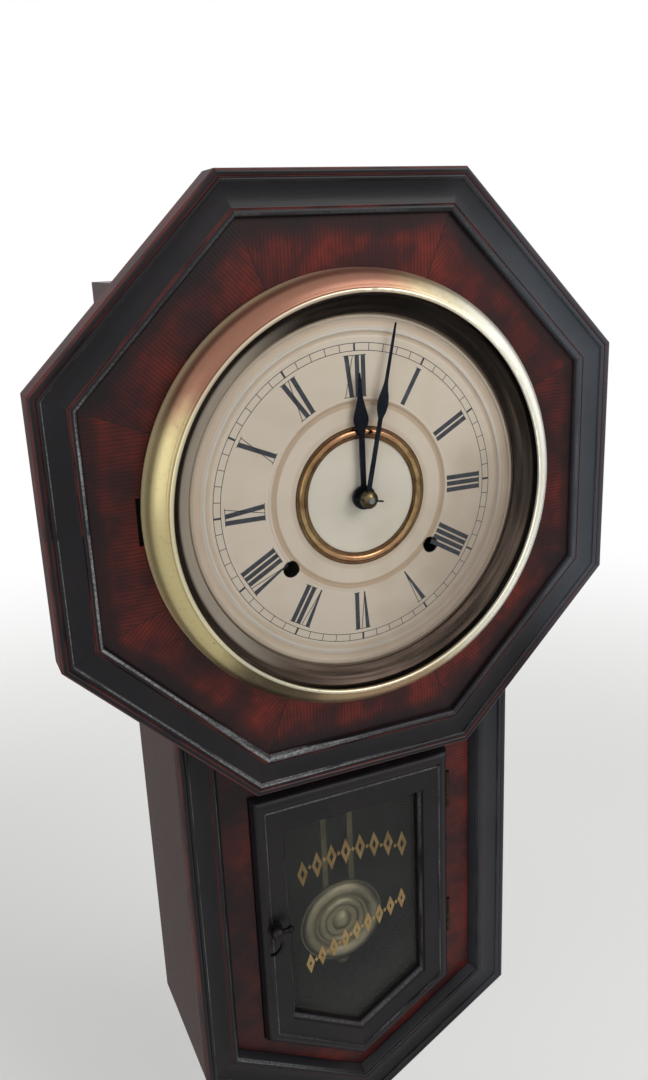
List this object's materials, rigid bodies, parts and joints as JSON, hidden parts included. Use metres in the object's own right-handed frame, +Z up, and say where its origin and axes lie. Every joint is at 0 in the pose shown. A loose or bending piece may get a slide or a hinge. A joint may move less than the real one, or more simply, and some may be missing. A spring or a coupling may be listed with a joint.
{
  "type": "pendulum wall clock",
  "caption": "Drop-octagon wall clock: veneered case with ebonised mouldings, hinged brass bezel and glazed lower door, striking eight-day movement and swinging pendulum.",
  "frame": {"origin": "point on the wall plane, at the back of the backboard, straight behind the centre of the dial", "axes": "+Z up, +Y into the wall, +X to the right as seen from the front, so that the dial faces -Y"},
  "size_m": [0.296, 0.1216, 0.5353],
  "materials": {
    "veneered_wood": "polished",
    "ebonised_wood": "gloss",
    "dark_wood": "polished",
    "plain_wood": "sawn",
    "bezel_brass": "polished",
    "movement_brass": "satin",
    "dark_brass": "polished",
    "steel": "bright",
    "black_iron": "black",
    "blued_steel": "blued",
    "dial_paint": "cream enamel",
    "clear_glass": "clear",
    "tinted_glass": "back painted",
    "gong_steel": "blued"
  },
  "bodies": {
    "case": {"backboard": "plain_wood", "side_boards": "dark_wood", "top_board": "plain_wood", "bottom_boards": "dark_wood", "octagon_board": "plain_wood", "octagon_veneer": "veneered_wood", "octagon_molding": "ebonised_wood", "drop_front": "veneered_wood", "drop_molding": "ebonised_wood", "hanger_plate": "steel", "wood_screws": "movement_brass", "hinge_bases": "movement_brass", "hinge_pins": "steel", "bezel_catch": "movement_brass", "latch_keeper": "steel", "dial_pan": "dial_paint", "dial_ring": "bezel_brass", "front_plate": "movement_brass", "back_plate": "movement_brass", "pillars": "movement_brass", "plate_nuts": "steel", "movement_blocks": "plain_wood", "mainsprings": "steel", "suspension_post": "movement_brass", "gong": "gong_steel", "gong_stand": "black_iron"},
    "bezel": {"bezel": "bezel_brass", "bezel_glass": "clear_glass", "sight_ring": "dark_brass", "bezel_hinge_leaf": "bezel_brass"},
    "lower_door": {"door_frame": "ebonised_wood", "door_glass": "tinted_glass", "glazing_bead": "dark_wood", "door_hinge_leaves": "movement_brass"},
    "latch": {"door_handle": "black_iron"},
    "pendulum": {"suspension_spring": "steel", "pendulum_rod": "movement_brass", "pendulum_bob": "bezel_brass"},
    "nut": {"rating_nut": "movement_brass"},
    "verge": {"verge": "steel"},
    "minute": {"minute_arbor": "steel", "minute_hand": "blued_steel", "hand_nut": "movement_brass", "taper_pin": "blued_steel"},
    "hour": {"hour_wheel": "movement_brass", "hour_hand": "blued_steel"},
    "minute_wheel": {"minute_wheel": "movement_brass"},
    "time_great": {"time_great_wheel": "movement_brass"},
    "time_winding": {"time_winding_arbor": "steel"},
    "second": {"second_wheel": "movement_brass"},
    "center": {"center_wheel": "movement_brass"},
    "third": {"third_wheel": "movement_brass"},
    "escape": {"escape_wheel": "movement_brass"},
    "strike_great": {"strike_great_wheel": "movement_brass"},
    "strike_winding": {"strike_winding_arbor": "steel"},
    "strike_second": {"strike_second_wheel": "movement_brass"},
    "pin_wheel": {"pin_wheel": "movement_brass"},
    "warning": {"warning_wheel": "movement_brass"},
    "fly": {"fly": "movement_brass"},
    "hammer": {"hammer": "steel"}
  },
  "joints": [
    {"name": "bezel_hinge", "type": "hinge", "parent": "case", "child": "bezel", "pos_m": [0.1073, -0.1023, 0], "axis": [0, 0, 1], "range_deg": [0, 105]},
    {"name": "door_hinge", "type": "hinge", "parent": "case", "child": "lower_door", "pos_m": [0.0612, -0.0818, -0.24], "axis": [0, 0, 1], "range_deg": [0, 100]},
    {"name": "latch_turn", "type": "hinge", "parent": "lower_door", "child": "latch", "pos_m": [-0.0516, -0.08, -0.242], "axis": [0, 1, 0], "range_deg": [0, 90]},
    {"name": "pendulum_swing", "type": "hinge", "parent": "case", "child": "pendulum", "pos_m": [0, -0.0582, 0.051], "axis": [0, 1, 0], "range_deg": [-3, 3]},
    {"name": "verge_rock", "type": "hinge", "parent": "case", "child": "verge", "pos_m": [0, -0.053, 0.048], "axis": [0, 1, 0], "range_deg": [-3.5, 3.5]},
    {"name": "rating_nut_turn", "type": "hinge", "parent": "pendulum", "child": "nut", "pos_m": [0, -0.0582, -0.302], "axis": [0, 0, 1], "continuous": true},
    {"name": "minute_turn", "type": "hinge", "parent": "case", "child": "minute", "pos_m": [0, -0.06, 0], "axis": [0, 1, 0], "continuous": true},
    {"name": "hour_turn", "type": "hinge", "parent": "case", "child": "hour", "pos_m": [0, -0.08, 0], "axis": [0, 1, 0], "continuous": true},
    {"name": "minute_wheel_turn", "type": "hinge", "parent": "case", "child": "minute_wheel", "pos_m": [-0.006, -0.052, -0.01039], "axis": [0, 1, 0], "continuous": true},
    {"name": "escape_turn", "type": "hinge", "parent": "case", "child": "escape", "pos_m": [0, -0.04, 0.028], "axis": [0, 1, 0], "continuous": true},
    {"name": "third_turn", "type": "hinge", "parent": "case", "child": "third", "pos_m": [0.00898, -0.035, 0.01703], "axis": [0, 1, 0], "continuous": true},
    {"name": "center_turn", "type": "hinge", "parent": "case", "child": "center", "pos_m": [0, -0.025, 0], "axis": [0, 1, 0], "continuous": true},
    {"name": "second_turn", "type": "hinge", "parent": "case", "child": "second", "pos_m": [0.02183, -0.025, -0.00546], "axis": [0, 1, 0], "continuous": true},
    {"name": "time_great_turn", "type": "hinge", "parent": "case", "child": "time_great", "pos_m": [0.0378, -0.025, -0.0305], "axis": [0, 1, 0], "continuous": true},
    {"name": "time_winding_turn", "type": "hinge", "parent": "case", "child": "time_winding", "pos_m": [0.0378, -0.04, -0.0305], "axis": [0, 1, 0], "continuous": true},
    {"name": "fly_turn", "type": "hinge", "parent": "case", "child": "fly", "pos_m": [-0.01892, -0.03, 0.0337], "axis": [0, 1, 0], "continuous": true},
    {"name": "warning_turn", "type": "hinge", "parent": "case", "child": "warning", "pos_m": [-0.01509, -0.04, 0.02318], "axis": [0, 1, 0], "continuous": true},
    {"name": "pin_wheel_turn", "type": "hinge", "parent": "case", "child": "pin_wheel", "pos_m": [-0.02511, -0.03, 0.01315], "axis": [0, 1, 0], "continuous": true},
    {"name": "strike_second_turn", "type": "hinge", "parent": "case", "child": "strike_second", "pos_m": [-0.02183, -0.025, -0.00546], "axis": [0, 1, 0], "continuous": true},
    {"name": "strike_great_turn", "type": "hinge", "parent": "case", "child": "strike_great", "pos_m": [-0.0378, -0.025, -0.0305], "axis": [0, 1, 0], "continuous": true},
    {"name": "strike_winding_turn", "type": "hinge", "parent": "case", "child": "strike_winding", "pos_m": [-0.0378, -0.04, -0.0305], "axis": [0, 1, 0], "continuous": true},
    {"name": "hammer_lift", "type": "hinge", "parent": "case", "child": "hammer", "pos_m": [-0.046, -0.03, 0.008], "axis": [0, 1, 0], "range_deg": [0, 8]}
  ],
  "couplings": [
    {"joint": "verge_rock", "follows": "pendulum_swing", "ratio": 1.1111},
    {"joint": "minute_wheel_turn", "follows": "minute_turn", "ratio": -0.33333},
    {"joint": "hour_turn", "follows": "minute_turn", "ratio": 0.083333},
    {"joint": "third_turn", "follows": "escape_turn", "ratio": -0.125},
    {"joint": "center_turn", "follows": "escape_turn", "ratio": 0.0125},
    {"joint": "second_turn", "follows": "escape_turn", "ratio": -0.003125},
    {"joint": "time_great_turn", "follows": "escape_turn", "ratio": 0.00069444},
    {"joint": "warning_turn", "follows": "fly_turn", "ratio": -0.14286},
    {"joint": "pin_wheel_turn", "follows": "fly_turn", "ratio": 0.017857},
    {"joint": "strike_second_turn", "follows": "fly_turn", "ratio": -0.0029762},
    {"joint": "strike_great_turn", "follows": "fly_turn", "ratio": 0.00066138}
  ]
}
